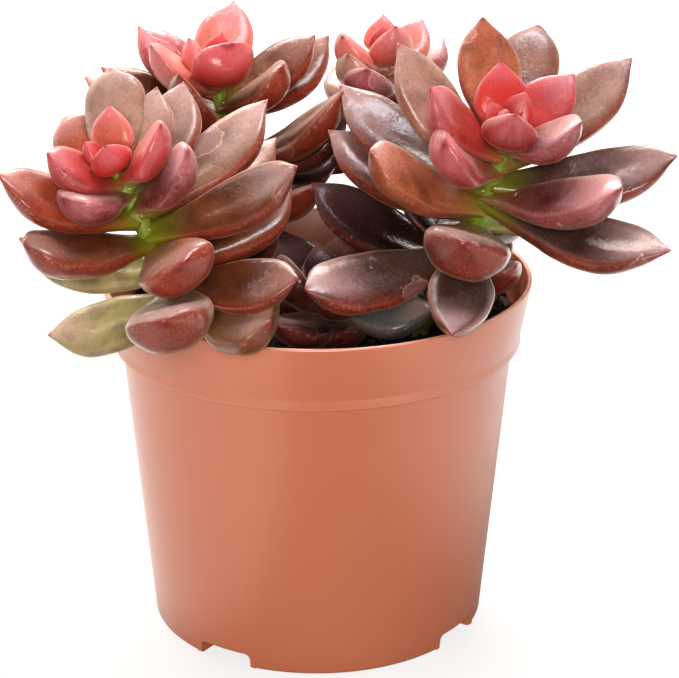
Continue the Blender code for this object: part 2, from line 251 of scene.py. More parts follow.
class GhostPlantLeaves(bpy.types.PropertyGroup):
    widest: length("Widest", "Width of a very long leaf", 16.5 * MM)
    growth: length("Width growth", "Length over which a leaf gains its width", 13 * MM)
    depth: share("Depth", "Depth as a share of the width", 0.52)
    sag: share("Sag", "Sag as a share of the length", 0.08)
    sunk: length("Sunk", "How far a leaf's foot is sunk in its stalk", 1 * MM)
    waver: length("Waver", "How uneven the leaves are", 0.9 * MM)
    sides: IntProperty(name="Sides", description="Faces round a leaf", default=36, min=8)
    stations: IntProperty(name="Stations", description="Faces along a leaf", default=44, min=8)
    coral: tint("Coral", "The newest leaves", "CC4038")
    pink: tint("Pink", "The young leaves in full sun", "DC7C68")
    rose: tint("Rose", "The young leaves", "B84440")
    lilac: tint("Lilac rose", "The young leaves in shade", "803A36")
    salmon: tint("Salmon", "The leaves that turn from red to brown", "AC5234")
    orange: tint("Orange brown", "The outer leaves in sun", "BC7450")
    brown: tint("Brown rose", "The outer leaves", "74401F")
    mauve: tint("Mauve brown", "The outer leaves with most bloom", "553930")
    beige: tint("Beige", "The palest leaves", "C0A08C")
    fawn: tint("Fawn", "The outer leaves that the sun has bleached", "8E6C58")
    sage: tint("Sage", "The leaves that stay green", "B2A674")
    olive: tint("Olive", "The lowest leaves in sun", "865C26")
    teal: tint("Grey green", "The low leaf in the middle", "4E5A56")
    # Maroon stands for the deep shadow inside a rosette: it is painted shade, given as the tone of the leaves
    # that sit there. It is also the colour of the dark patches, mottle and pits.
    dark: tint("Maroon", "The leaves that grow in shade", "260F08")
    # Ember is painted shade where a leaf faces away from the sun vector, and the margins' own redder colour.
    ember: tint("Ember", "The undersides", "983A12")
    foot: tint("Foot", "The leaves' feet", "7F8C1E")
    bloom: tint("Bloom", "The waxy film", "C6AEBA")
    flush: tint("Flush", "The margins and tips of young leaves", "EA949E")
    # Margin is also the colour of the painted rim light where a leaf is seen edge-on.
    margin: tint("Margin", "The thin line along a leaf's edge", "F0CDB4")
    # Highlit is the colour of a painted highlight, laid where a leaf faces the sun vector.
    highlit: tint("Highlit", "Where the sun falls on a leaf", "E6C6BA")
    # The sun is the key light's direction, and the leaf skin paints light and shade by it: painted highlights
    # where a leaf faces it, painted shade where it faces away.
    sun: FloatVectorProperty(
        name="Sun", description="Where the sun that bleaches the leaves stands", default=(-0.4, 0.3, 0.85),
        size=3, subtype="XYZ",
    )
    tip: tint("Tip", "The point of a leaf", "8C1E28")


class GhostPlantStalks(bpy.types.PropertyGroup):
    foot_radius: length("Foot radius", "Radius where a stalk leaves the mix", 3.3 * MM)
    crown_radius: length("Crown radius", "Radius at the crown", 1.7 * MM)
    root: length("Root", "How deep a stalk stands in the mix", 17 * MM)
    sides: IntProperty(name="Sides", description="Faces round a stalk", default=28, min=6)
    green: tint("Green", "The stalk near its crown", "809832")
    woody: tint("Woody", "The stalk near its foot", "7A6A3C")


class GhostPlantStage(bpy.types.PropertyGroup):
    target: FloatVectorProperty(
        name="Target", description="The point the camera looks at", default=(5.5 * MM, 0, 70.7 * MM),
        size=3, subtype="TRANSLATION", unit="LENGTH",
    )
    distance: length("Distance", "From the target to the camera", 600 * MM)
    elevation: FloatProperty(
        name="Elevation", description="How far the camera looks down", default=math.radians(20.9),
        subtype="ANGLE", unit="ROTATION",
    )
    lens: FloatProperty(
        name="Lens", description="Focal length", default=129.37, min=1, unit="CAMERA",
    )
    floor_size: length("Floor size", "Width of the floor", 4)
    floor: tint("Floor", "The floor's colour", "7A7977")
    glow: FloatProperty(name="Glow", description="How bright the paper looks by itself", default=0.66, min=0)
    shine: FloatProperty(
        name="Shine", description="How bright the paper is in reflections", default=0.9, min=0,
    )
    sky: FloatProperty(name="Sky", description="Strength of the light from all round", default=0.03, min=0)


class Wires:
    """Adds nodes to a tree and joins them up."""

    def __init__(self, tree):
        self.tree = tree
        self.count = 0

    def add(self, kind, values=None, **settings):
        node = self.tree.nodes.new(kind)
        for key, value in settings.items():
            setattr(node, key, value)
        for key, value in (values or {}).items():
            self.put(node, key, value)
        node.location = (220 * (self.count // 5), -200 * (self.count % 5))
        self.count += 1
        return node

    def put(self, node, key, value):
        """Sets an input, or joins it to another node's output."""
        socket = node.inputs[key] if isinstance(key, int) else self.live(node.inputs, key)
        if isinstance(value, bpy.types.NodeSocket):
            self.tree.links.new(value, socket)
        else:
            socket.default_value = value

    @staticmethod
    def live(sockets, name):
        """The socket of this name that is in use."""
        return next(socket for socket in sockets if socket.name == name and socket.enabled)

    def out(self, kind, name, values=None, **settings):
        return self.live(self.add(kind, values, **settings).outputs, name)

    def math(self, operation, *values, clamp=False):
        numbered = dict(enumerate(values))
        return self.out("ShaderNodeMath", "Value", numbered, operation=operation, use_clamp=clamp)

    def vector_math(self, operation, *values, scale=None):
        numbered = dict(enumerate(values))
        node = self.add("ShaderNodeVectorMath", numbered, operation=operation)
        if scale is not None:
            self.put(node, "Scale", scale)
        return node.outputs["Vector"]

    def ramp(self, value, start, end, low=0, high=1):
        """A smooth step of a value, from low at start to high at end."""
        return self.out("ShaderNodeMapRange", "Result", {
            "Value": value, "From Min": start, "From Max": end, "To Min": low, "To Max": high,
        }, interpolation_type="SMOOTHSTEP")

    def mix(self, factor, first, second, blend="MIX"):
        return self.out("ShaderNodeMix", "Result", {
            "Factor": factor, "A": first, "B": second,
        }, data_type="RGBA", blend_type=blend)

    def noise(self, vector, scale, detail=2, output="Fac", **values):
        return self.out("ShaderNodeTexNoise", output, {
            "Vector": vector, "Scale": scale, "Detail": detail, **values,
        })


def group(name, inputs, outputs):
    """A shader node group with its sockets, as its wires, its inputs and the node for its outputs."""
    tree = bpy.data.node_groups.new(name, "ShaderNodeTree")
    for label, kind, default in inputs:
        socket = tree.interface.new_socket(label, in_out="INPUT", socket_type="NodeSocket" + kind)
        if default is not None:
            socket.default_value = default
    for label, kind in outputs:
        tree.interface.new_socket(label, in_out="OUTPUT", socket_type="NodeSocket" + kind)
    wires = Wires(tree)
    given = wires.add("NodeGroupInput").outputs
    return wires, given, wires.add("NodeGroupOutput")


def grain_group():
    """A fine unevenness, for bump: grains of a size, and a slower swell under them."""
    wires, given, made = group(
        "Fine Grain",
        (("Vector", "Vector", None), ("Size", "Float", 1 * MM), ("Swell", "Float", 0.3)),
        (("Height", "Float"),),
    )
    scale = wires.math("DIVIDE", 1, given["Size"])
    fine = wires.noise(given["Vector"], scale, 4)
    slow = wires.noise(given["Vector"], wires.math("MULTIPLY", scale, 0.12), 2)
    wires.put(made, "Height", wires.math("MULTIPLY_ADD", slow, given["Swell"], fine))
    return wires.tree


def film_group():
    """A powdery film that lies in clouds, as bloom on a leaf, dust on a pot or dry peat on damp."""
    wires, given, made = group(
        "Film",
        (("Vector", "Vector", None), ("Size", "Float", 8 * MM), ("Cover", "Float", 0.5),
         ("Powder", "Float", 0.4)),
        (("Mask", "Float"),),
    )
    scale = wires.math("DIVIDE", 1, given["Size"])
    clouds = wires.noise(given["Vector"], scale, 3, Roughness=0.5, Distortion=0.2)
    start = wires.math("SUBTRACT", 0.7, wires.math("MULTIPLY", given["Cover"], 0.6))
    end = wires.math("ADD", start, 0.35)
    soft = wires.ramp(clouds, start, end)
    fine = wires.noise(given["Vector"], wires.math("MULTIPLY", scale, 18), 6, Roughness=0.75)
    bare = wires.math("MULTIPLY", wires.ramp(fine, 0.62, 0.4), given["Powder"])
    wires.put(made, "Mask", wires.math("MULTIPLY", soft, wires.math("SUBTRACT", 1, bare)))
    return wires.tree


def specks_group():
    """Small specks, scattered, each in its own cell."""
    wires, given, made = group(
        "Specks",
        (("Vector", "Vector", None), ("Size", "Float", 1 * MM), ("Cover", "Float", 0.3)),
        (("Mask", "Float"),),
    )
    cells = wires.add("ShaderNodeTexVoronoi", {
        "Vector": given["Vector"], "Scale": wires.math("DIVIDE", 1, given["Size"]),
    })
    drawn = wires.out("ShaderNodeSeparateColor", "Red", {"Color": cells.outputs["Color"]})
    kept = wires.math("LESS_THAN", drawn, given["Cover"])
    wide = wires.math("MULTIPLY_ADD", wires.out(
        "ShaderNodeSeparateColor", "Green", {"Color": cells.outputs["Color"]}), 0.25, 0.1)
    dot = wires.ramp(cells.outputs["Distance"], wide, wires.math("MULTIPLY", wide, 0.4))
    wires.put(made, "Mask", wires.math("MULTIPLY", dot, kept))
    return wires.tree


def marks_group():
    """Dried water marks: patches with a crisp, wavering outline."""
    wires, given, made = group(
        "Dried Marks",
        (("Vector", "Vector", None), ("Size", "Float", 10 * MM), ("Cover", "Float", 0.3)),
        (("Fill", "Float"), ("Outline", "Float")),
    )
    scale = wires.math("DIVIDE", 1, given["Size"])
    wander = wires.noise(given["Vector"], wires.math("MULTIPLY", scale, 3), 4, output="Color")
    centred = wires.vector_math("SUBTRACT", wander, (0.5, 0.5, 0.5))
    shift = wires.vector_math("SCALE", centred, scale=wires.math("MULTIPLY", given["Size"], 0.55))
    cells = wires.add("ShaderNodeTexVoronoi", {
        "Vector": wires.vector_math("ADD", given["Vector"], shift), "Scale": scale,
    })
    drawn = wires.out("ShaderNodeSeparateColor", "Red", {"Color": cells.outputs["Color"]})
    open_from = wires.math("SUBTRACT", 1, given["Cover"])
    reach = wires.ramp(drawn, open_from, 1, 0, 0.45)
    depth = wires.math("SUBTRACT", reach, cells.outputs["Distance"])
    real = wires.math("GREATER_THAN", reach, 0.04)
    wires.put(made, "Fill", wires.math("MULTIPLY", wires.ramp(depth, 0, 0.03), real))
    away = wires.math("ABSOLUTE", depth)
    wires.put(made, "Outline", wires.math("MULTIPLY", wires.ramp(away, 0.03, 0.004), real))
    return wires.tree


def shared(name):
    """One of the node groups that several materials use, built the first time it is needed."""
    builders = {
        "Fine Grain": grain_group, "Film": film_group, "Specks": specks_group,
        "Dried Marks": marks_group,
    }
    return bpy.data.node_groups.get(name) or builders[name]()


def effect(wires, name, output, **values):
    """A shared group placed in a material, and one of its outputs."""
    node = wires.add("ShaderNodeGroup", node_tree=shared(name))
    for key, value in values.items():
        wires.put(node, key.title(), value)
    return node.outputs[output]


def surface(name, **own):
    """A new material with the shader's own values, as the material, its wires and its shader."""
    material = bpy.data.materials.new(name)
    material.use_nodes = True
    material.node_tree.nodes.clear()
    wires = Wires(material.node_tree)
    shader = wires.add("ShaderNodeBsdfPrincipled")
    for key, value in own.items():
        shader.inputs[key.replace("_", " ").title().replace("Ior", "IOR")].default_value = value
    wires.add("ShaderNodeOutputMaterial", {"Surface": shader.outputs["BSDF"]})
    return material, wires, shader


def attribute(wires, name, output="Fac"):
    return wires.out("ShaderNodeAttribute", output, attribute_name=name, attribute_type="GEOMETRY")


def bump(wires, shader, height, strength, distance):
    wires.put(shader, "Normal", wires.out("ShaderNodeBump", "Normal", {
        "Height": height, "Strength": strength, "Distance": distance,
    }))


def pot_plastic(look):
    """Terracotta-coloured plastic with a moulded skin and a little dust, paler along the rim's top and the
    bead at the band's foot as a painted highlight.
    """
    material, wires, shader = surface("terracotta_plastic", specular_ior_level=0.75)
    at = wires.out("ShaderNodeTexCoord", "Object")
    dust = effect(wires, "Film", "Mask", vector=at, size=26 * MM, cover=0.25)
    base = wires.mix(wires.math("MULTIPLY", dust, 0.06), look.colour, look.pale)
    height = wires.out("ShaderNodeSeparateXYZ", "Z", {"Vector": at})
    ledge = look.height - look.band_height
    # Painted highlight: a pale line along the top of the rim and along the bead at the band's foot, where the
    # edges catch the light.
    painted_edge_highlight = wires.math("ADD", wires.ramp(height, look.height - 0.5 * MM, look.height),
                     wires.ramp(wires.math("ABSOLUTE", wires.math("SUBTRACT", height, ledge)), 0.7 * MM, 0))
    base = wires.mix(wires.math("MULTIPLY", painted_edge_highlight, 0.6), base, look.pale)
    wires.put(shader, "Base Color", base)
    scuff = effect(wires, "Film", "Mask", vector=at, size=12 * MM, cover=0.4)
    wires.put(shader, "Roughness", wires.math("MULTIPLY_ADD", scuff, 0.08, look.roughness))
    stretched = wires.vector_math("MULTIPLY", at, (1, 1, 0.25))
    grain = effect(wires, "Fine Grain", "Height", vector=stretched, size=0.7 * MM, swell=1.2)
    bump(wires, shader, grain, 0.12, 0.05 * MM)
    return material


def mix_peat(look):
    """Damp peat with dry crumbs and fibres. Each crumb has its own tone."""
    material, wires, shader = surface("potting_mix", specular_ior_level=0.3)
    at = wires.out("ShaderNodeTexCoord", "Object")
    tone = attribute(wires, "tone")
    dry = effect(wires, "Film", "Mask", vector=at, size=5 * MM, cover=0.45)
    shade = wires.math("MULTIPLY_ADD", dry, 0.35, wires.ramp(tone, 0.55, 1))
    base = wires.mix(wires.math("MINIMUM", shade, 1), look.dark, look.light)
    specks = effect(wires, "Specks", "Mask", vector=at, size=0.8 * MM, cover=0.08)
    base = wires.mix(wires.math("MULTIPLY", specks, 0.5), base, look.light)
    wires.put(shader, "Base Color", base)
    wires.put(shader, "Roughness", wires.ramp(tone, 0, 1, 0.62, 0.95))
    grain = effect(wires, "Fine Grain", "Height", vector=at, size=0.5 * MM, swell=1)
    bump(wires, shader, grain, 0.8, 0.3 * MM)
    return material


def stalk_skin(look):
    """A green stalk that turns woody towards the mix, with fine scars."""
    material, wires, shader = surface(
        "stalks", subsurface_weight=0.12, subsurface_radius=(0.003, 0.003, 0.0008), subsurface_scale=1,
    )
    at = wires.out("ShaderNodeTexCoord", "Object")
    up = attribute(wires, "up_stalk")
    age = wires.math("SUBTRACT", 1, wires.ramp(up, 0.25, 0.65))
    film = effect(wires, "Film", "Mask", vector=at, size=4 * MM, cover=0.4)
    base = wires.mix(wires.math("MULTIPLY", age, 0.9), look.green, look.woody)
    base = wires.mix(wires.math("MULTIPLY", film, 0.25), base, look.woody)
    specks = effect(wires, "Specks", "Mask", vector=at, size=1.2 * MM, cover=0.25)
    base = wires.mix(wires.math("MULTIPLY", specks, 0.3), base, linear("D8D8A0"))
    wires.put(shader, "Base Color", base)
    wires.put(shader, "Roughness", wires.ramp(age, 0, 1, 0.42, 0.75))
    grain = effect(wires, "Fine Grain", "Height", vector=at, size=0.6 * MM, swell=1)
    bump(wires, shader, grain, 0.4, 0.15 * MM)
    return material


def leaf_skin(look):
    """Fleshy leaf skin: a waxy bloom above, a pale margin, a green foot and dried marks, with painted light:
    pale highlights where it faces the sun vector, painted shade in ember where it faces away, and a painted
    rim light where it is seen edge-on.
    """
    material, wires, shader = surface(
        "leaves", subsurface_weight=0.18, subsurface_radius=(0.004, 0.0014, 0.0009), subsurface_scale=1,
        specular_ior_level=0.4,
    )
    at = attribute(wires, "leaf_at", "Vector")
    along = attribute(wires, "share")
    side = attribute(wires, "side")
    wax = attribute(wires, "wax")
    sun = attribute(wires, "sun")
    skin = attribute(wires, "skin", "Color")

    patchy = wires.ramp(wires.noise(at, 170, 2), 0.4, 0.7)
    young = attribute(wires, "flush")
    patchy = wires.math("MULTIPLY", patchy, wires.math("MULTIPLY_ADD", young, -0.25, 0.42))
    base = wires.mix(patchy, skin, look.dark)
    near_edge = wires.ramp(wires.math("ABSOLUTE", side), 0.65, 0.15)
    # Painted shade: the skin turns warmer and darker, towards ember, where the leaf faces away from the sun
    # vector; near the margins the same colour is the leaf's own redder edge.
    outer = wires.math("MAXIMUM", wires.ramp(sun, 0.5, -0.6), wires.math("MULTIPLY", near_edge, 0.9))
    blotchy = wires.ramp(wires.noise(at, 140, 4), 0.25, 0.6, 0.4, 1)
    shade_and_margin_warmth = wires.math("MULTIPLY", wires.math("MULTIPLY", outer, blotchy), attribute(wires, "warm"))
    base = wires.mix(shade_and_margin_warmth, base, look.ember)
    flushed = wires.math("MAXIMUM", wires.ramp(along, 0.5, 0.97), wires.math("MULTIPLY", near_edge, 0.7))
    flushed = wires.math("MULTIPLY", flushed, wires.math("MULTIPLY", blotchy, young))
    base = wires.mix(wires.math("MULTIPLY", flushed, 0.6), base, look.flush)

    film = effect(wires, "Film", "Mask", vector=at, size=10 * MM, cover=0.5, powder=0.35)
    open_face = wires.ramp(wires.math("ABSOLUTE", side), 0.1, 0.8)
    film = wires.math("MULTIPLY", wires.math("MULTIPLY", film, open_face), wax)
    film = wires.math("MULTIPLY", film, wires.ramp(along, 0.3, 0.8, 0.35, 1))
    # The bloom is the leaf's own, but here it is laid thicker where the leaf faces the sun vector: partly
    # painted light.
    film = wires.math("MULTIPLY", film, wires.ramp(sun, -0.1, 0.6, 0.15, 1))
    # Painted highlight: where the leaf faces the sun vector the skin is painted pale, most along the margins
    # and towards the tip, and pinker on young leaves.
    far = wires.math("MAXIMUM", wires.math("MULTIPLY", near_edge, 0.75), wires.ramp(along, 0.55, 0.95, 0, 0.6))
    highlit = wires.math("MULTIPLY", wires.ramp(sun, 0, 0.85), wires.math("MULTIPLY_ADD", far, 1.2, 0.05))
    highlit = wires.math("MULTIPLY", highlit, wires.math("MINIMUM", wax, 1))
    pale = wires.mix(wires.math("MULTIPLY", young, 0.7), look.highlit, look.flush)
    base = wires.mix(highlit, base, pale)
    fill = effect(wires, "Dried Marks", "Fill", vector=at, size=11 * MM, cover=0.3)
    line = effect(wires, "Dried Marks", "Outline", vector=at, size=11 * MM, cover=0.3)
    base = wires.mix(wires.math("MULTIPLY", film, 0.36), base, look.bloom)
    mottle = wires.ramp(wires.noise(at, 1300, 4, Roughness=0.7), 0.35, 0.65, -0.12, 0.08)
    waxed = wires.math("ADD", wax, 0.2)
    base = wires.mix(wires.math("MULTIPLY", wires.math("MAXIMUM", mottle, 0), waxed), base, look.bloom)
    worn = wires.math("MULTIPLY", wires.math("MULTIPLY", mottle, -1.2), wires.math("MINIMUM", waxed, 1))
    base = wires.mix(wires.math("MAXIMUM", worn, 0), base, look.dark)

    foot = wires.math("MULTIPLY", wires.ramp(along, 0.32, 0.03), attribute(wires, "sap"))
    base = wires.mix(wires.math("MULTIPLY", foot, 0.85), base, look.foot)

    edge = wires.ramp(wires.math("ABSOLUTE", side), 0.2, 0.02)
    # Painted rim light: where a leaf is seen edge-on, the skin is painted towards the pale margin colour, most
    # strongly at the margin itself.
    grazing = wires.out("ShaderNodeLayerWeight", "Facing", {"Blend": 0.5})
    rim = wires.math("MULTIPLY_ADD", edge, 0.45, 0.5)
    base = wires.mix(wires.math("MULTIPLY", rim, wires.ramp(grazing, 0.55, 0.95)), base, look.margin)

    frayed = wires.ramp(wires.noise(at, 1000, 3), 0.52, 0.6)
    frost = wires.math("MULTIPLY", wires.math("MULTIPLY", edge, frayed), wires.ramp(along, 0.4, 0.9, 0.2, 0.8))
    base = wires.mix(wires.math("MULTIPLY", frost, 0.22), base, look.margin)

    base = wires.mix(wires.math("MULTIPLY", fill, wires.math("MULTIPLY", wax, 0.25)), base, look.bloom)
    base = wires.mix(wires.math("MULTIPLY", line, wires.math("MULTIPLY", wax, 0.5)), base, look.margin)
    near = wires.ramp(along, 0.4, 1, 0.15, 0.8)
    specks = effect(wires, "Specks", "Mask", vector=at, size=0.8 * MM, cover=0.2)
    base = wires.mix(wires.math("MULTIPLY", specks, wires.math("MULTIPLY", near, wax)), base, look.margin)
    pits = effect(wires, "Specks", "Mask", vector=at, size=1.5 * MM, cover=0.1)
    base = wires.mix(wires.math("MULTIPLY", pits, 0.3), base, look.dark)
    point = wires.ramp(along, 0.965, 0.99)
    base = wires.mix(wires.math("MULTIPLY", point, 0.6), base, look.tip)
    wires.put(shader, "Base Color", base)

    rough = wires.math("MULTIPLY_ADD", film, 0.25, 0.22)
    wires.put(shader, "Roughness", wires.math("MULTIPLY_ADD", fill, -0.06, rough))
    grain = effect(wires, "Fine Grain", "Height", vector=at, size=0.8 * MM, swell=4)
    height = wires.math("MULTIPLY_ADD", line, 0.5, grain)
    bump(wires, shader, wires.math("MULTIPLY_ADD", pits, -0.8, height), 0.55, 0.14 * MM)
    return material


def plain_object(name, mesh):
    made = bpy.data.objects.new(name, mesh)
    bpy.context.scene.collection.objects.link(made)
    return made


def object_of(name, shape):
    """An object from a bmesh, with its faces turned outwards."""
    bmesh.ops.recalc_face_normals(shape, faces=shape.faces)
    mesh = bpy.data.meshes.new(name)
    shape.to_mesh(mesh)
    shape.free()
    return plain_object(name, mesh)


def settled(made):
    """Turns what the modifiers give into the object's plain mesh, and removes them."""
    graph = bpy.context.evaluated_depsgraph_get()
    mesh = bpy.data.meshes.new_from_object(made.evaluated_get(graph))
    made.modifiers.clear()
    made.data = mesh
    if not mesh.polygons:
        raise RuntimeError(f"{made.name} came out with no faces")
    return made


def finish(made, slot, *nodes, material=None, crease=35):
    """Gives a piece its material, smooth shading and its place in the frame."""
    if material:
        made.data.materials.clear()
        made.data.materials.append(material)
    made.data.shade_smooth()
    made.data.set_sharp_from_angle(angle=math.radians(crease))
    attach(made, "root")
    if nodes:
        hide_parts(*nodes)


def rounded(profile, steps):
    """A profile of (radius, height, corner radius) as points, with its corners turned on arcs."""
    points = [Vector(profile[0][:2])]
    for before, corner, after in zip(profile, profile[1:], profile[2:]):
        at, bend = Vector(corner[:2]), corner[2]
        back = (Vector(before[:2]) - at).normalized()
        on = (Vector(after[:2]) - at).normalized()
        if not bend:
            points.append(at)
            continue
        half = back.angle(on) / 2
        centre = at + (back + on).normalized() * bend / math.sin(half)
        start = at + back * bend / math.tan(half) - centre
        turn = start.angle_signed(at + on * bend / math.tan(half) - centre)
        points += [centre + Matrix.Rotation(-turn * k / steps, 2) @ start for k in range(steps + 1)]
    return points + [Vector(profile[-1][:2])]


def turned(name, profile, segments):
    """A profile of (radius, height) spun about Z. It starts and ends on the axis."""
    shape = bmesh.new()
    corners = [shape.verts.new((radius, 0, height)) for radius, height in profile]
    edges = [shape.edges.new(pair) for pair in zip(corners, corners[1:])]
    bmesh.ops.spin(
        shape, geom=corners + edges, cent=(0, 0, 0), axis=(0, 0, 1), angle=2 * math.pi,
        steps=segments, use_merge=True,
    )
    bmesh.ops.remove_doubles(shape, verts=shape.verts, dist=0.001 * MM)
    return object_of(name, shape)


def bar(name, section, start, end, heading):
    """A bar along a heading from the axis, with a section of (across, height)."""
    shape = bmesh.new()
    face = shape.faces.new([shape.verts.new((start, across, height)) for across, height in section])
    grown = bmesh.ops.extrude_face_region(shape, geom=[face])["geom"]
    far = [item for item in grown if isinstance(item, bmesh.types.BMVert)]
    bmesh.ops.translate(shape, verts=far, vec=(end - start, 0, 0))
    bmesh.ops.rotate(shape, verts=shape.verts, matrix=Matrix.Rotation(math.radians(heading), 3, "Z"))
    return object_of(name, shape)


def boolean(target, others, operation):
    """Joins the others to the target, or cuts them from it, in one go, and removes them."""
    several = bpy.data.collections.new("others")
    for other in others:
        bpy.context.scene.collection.objects.unlink(other)
        several.objects.link(other)
    step = target.modifiers.new("boolean", "BOOLEAN")
    step.operation = operation
    step.operand_type = "COLLECTION"
    step.collection = several
    settled(target)
    for other in list(several.objects):
        bpy.data.objects.remove(other)
    bpy.data.collections.remove(several)


DRAINS = 4
FIRST_DRAIN = -123
DRAIN_CORNER = 1.4 * MM


def drain_headings():
    return [FIRST_DRAIN + 360 / DRAINS * i for i in range(DRAINS)]


def drain_section(look, grow):
    """A channel's outline as (across, height) with round upper corners, grown outwards."""
    half, top = look.drain_width / 2 + grow, look.drain_height + grow
    foot = GAP if grow else -1 * MM
    corner = DRAIN_CORNER + grow
    arc = rounded(((half, foot), (half, top, corner), (-half, top, corner), (-half, foot)), 6)
    return [tuple(point) for point in arc[::-1]]


def drains(look, grow, end):
    section = drain_section(look, grow)
    return [bar("drain", section, look.drain_inner - grow, end, h) for h in drain_headings()]


def drain_holes(look):
    pegs = []
    for heading in drain_headings():
        shape = bmesh.new()
        place = Matrix.Rotation(math.radians(heading), 4, "Z") @ Matrix.Translation(
            (look.hole_at, 0, look.drain_height))
        bmesh.ops.create_cone(
            shape, cap_ends=True, segments=48, radius1=look.hole_radius, radius2=look.hole_radius,
            depth=look.drain_height, matrix=place,
        )
        pegs.append(object_of("hole", shape))
    return pegs


class GHOSTPLANT_OT_pot(bpy.types.Operator):
    """Turns the thin plastic pot, with its band, its lip and the drains under its floor"""

    bl_idname = "ghost_plant.pot"
    bl_label = "Build Pot"

    def execute(self, context):
        look = context.scene.ghost_plant_pot
        ledge, top, wall = look.height - look.band_height, look.height, look.wall
        cove = 2 * look.floor
        slope = (look.body_top_radius - look.foot_radius) / ledge
        band_slope = (look.rim_radius - look.band_foot_radius) / look.band_height
        bead = look.band_foot_radius + look.bead
        rings = [look.drain_height * k for k in (1.6, 2, 3, 5, 8, 12, 16)]
        profile = (
            (0, 0.35 * MM),
            (2.2 * MM, 0.35 * MM, 0.2 * MM),
            (2.6 * MM, 0, 0.2 * MM),
            (look.foot_radius, 0, 0.9 * MM),
            *((look.foot_radius + slope * ring, ring, 0) for ring in rings),
            (look.body_top_radius, ledge, 0.3 * MM),
            (bead, ledge, 0.4 * MM),
            (bead, ledge + 3 * look.bead, 0.4 * MM),
            (look.band_foot_radius + 5 * look.bead * band_slope, ledge + 5 * look.bead, 0.3 * MM),
            (look.rim_radius, top, 0.5 * MM),
            (look.rim_radius - wall, top, 0.5 * MM),
            (look.band_foot_radius - wall + band_slope * wall, ledge + wall, 0.5 * MM),
            (look.body_top_radius - wall, ledge, 0.5 * MM),
            (look.foot_radius - wall + slope * cove, cove, 0.5 * MM),
            (look.foot_radius - 2 * wall, look.floor, 0.5 * MM),
            (0, look.floor),
        )
        pot = turned("pot_shell", rounded(profile, 6), look.segments)
        boolean(pot, drains(look, look.drain_roof, look.foot_radius - wall / 2), "UNION")
        boolean(pot, drains(look, 0, look.rim_radius) + drain_holes(look), "DIFFERENCE")
        finish(pot, "terracotta_plastic", "pot", material=pot_plastic(look))
        return {"FINISHED"}


def mix_bed(look, name):
    """The body of the potting mix, filling the pot, with an uneven top."""
    ledge, cove = look.height - look.band_height, 2 * look.floor
    room = look.wall + GAP
    slope = (look.body_top_radius - look.foot_radius) / ledge
    band_slope = (look.rim_radius - look.band_foot_radius) / look.band_height
    edge = look.band_foot_radius + band_slope * (MIX_TOP - ledge) - room
    rings = 40
    top = [(edge * (1 - k / rings), MIX_TOP) for k in range(rings + 1)]
    bed = turned(name, [
        (0, look.floor + GAP),
        (look.foot_radius - 2 * look.wall - GAP, look.floor + GAP),
        (look.foot_radius + slope * cove - room, cove + GAP),
        (look.body_top_radius - room, ledge + GAP),
        (look.band_foot_radius - room, ledge + room),
        *top,
    ], 128)
    for vertex in bed.data.vertices:
        inward = edge - vertex.co.xy.length
        if vertex.co.z > MIX_TOP - GAP and inward > 0:
            rise = noise.noise(vertex.co / (9 * MM)) * 0.8 + noise.noise(vertex.co / (2.4 * MM)) * 0.5
            vertex.co.z += rise * MM * min(1, inward / (4 * MM))
    boolean(bed, drains(look, look.drain_roof + GAP, look.rim_radius), "DIFFERENCE")
    return bed


def crumb(name, seed, squash):
    """One low, uneven crumb, about 1 across."""
    shape = bmesh.new()
    bmesh.ops.create_icosphere(shape, subdivisions=1, radius=0.5)
    bmesh.ops.subdivide_edges(shape, edges=shape.edges[:6], cuts=1)
    for vertex in shape.verts:
        swell = 1 + 0.5 * noise.noise(vertex.co * 3 + Vector((seed, 0, 0)))
        vertex.co = Vector((vertex.co.x, vertex.co.y * squash[0], vertex.co.z * squash[1])) * swell
    return object_of(name, shape)


def geometry_tree(name, inputs):
    """A Geometry Nodes tree with its named inputs, as its wires, its inputs and its output node."""
    tree = bpy.data.node_groups.new(name, "GeometryNodeTree")
    tree.interface.new_socket("Geometry", in_out="INPUT", socket_type="NodeSocketGeometry")
    for label, kind in inputs:
        tree.interface.new_socket(label, in_out="INPUT", socket_type="NodeSocket" + kind)
    tree.interface.new_socket("Geometry", in_out="OUTPUT", socket_type="NodeSocketGeometry")
    wires = Wires(tree)
    given = wires.add("NodeGroupInput").outputs
    return wires, given, wires.add("NodeGroupOutput")


def grow(made, tree, values):
    """Runs a Geometry Nodes tree on an object with these inputs, and keeps the plain mesh."""
    step = made.modifiers.new(tree.name, "NODES")
    step.node_group = tree
    for item in tree.interface.items_tree:
        if item.in_out == "INPUT" and item.name in values:
            step[item.identifier] = values[item.name]
    return settled(made)


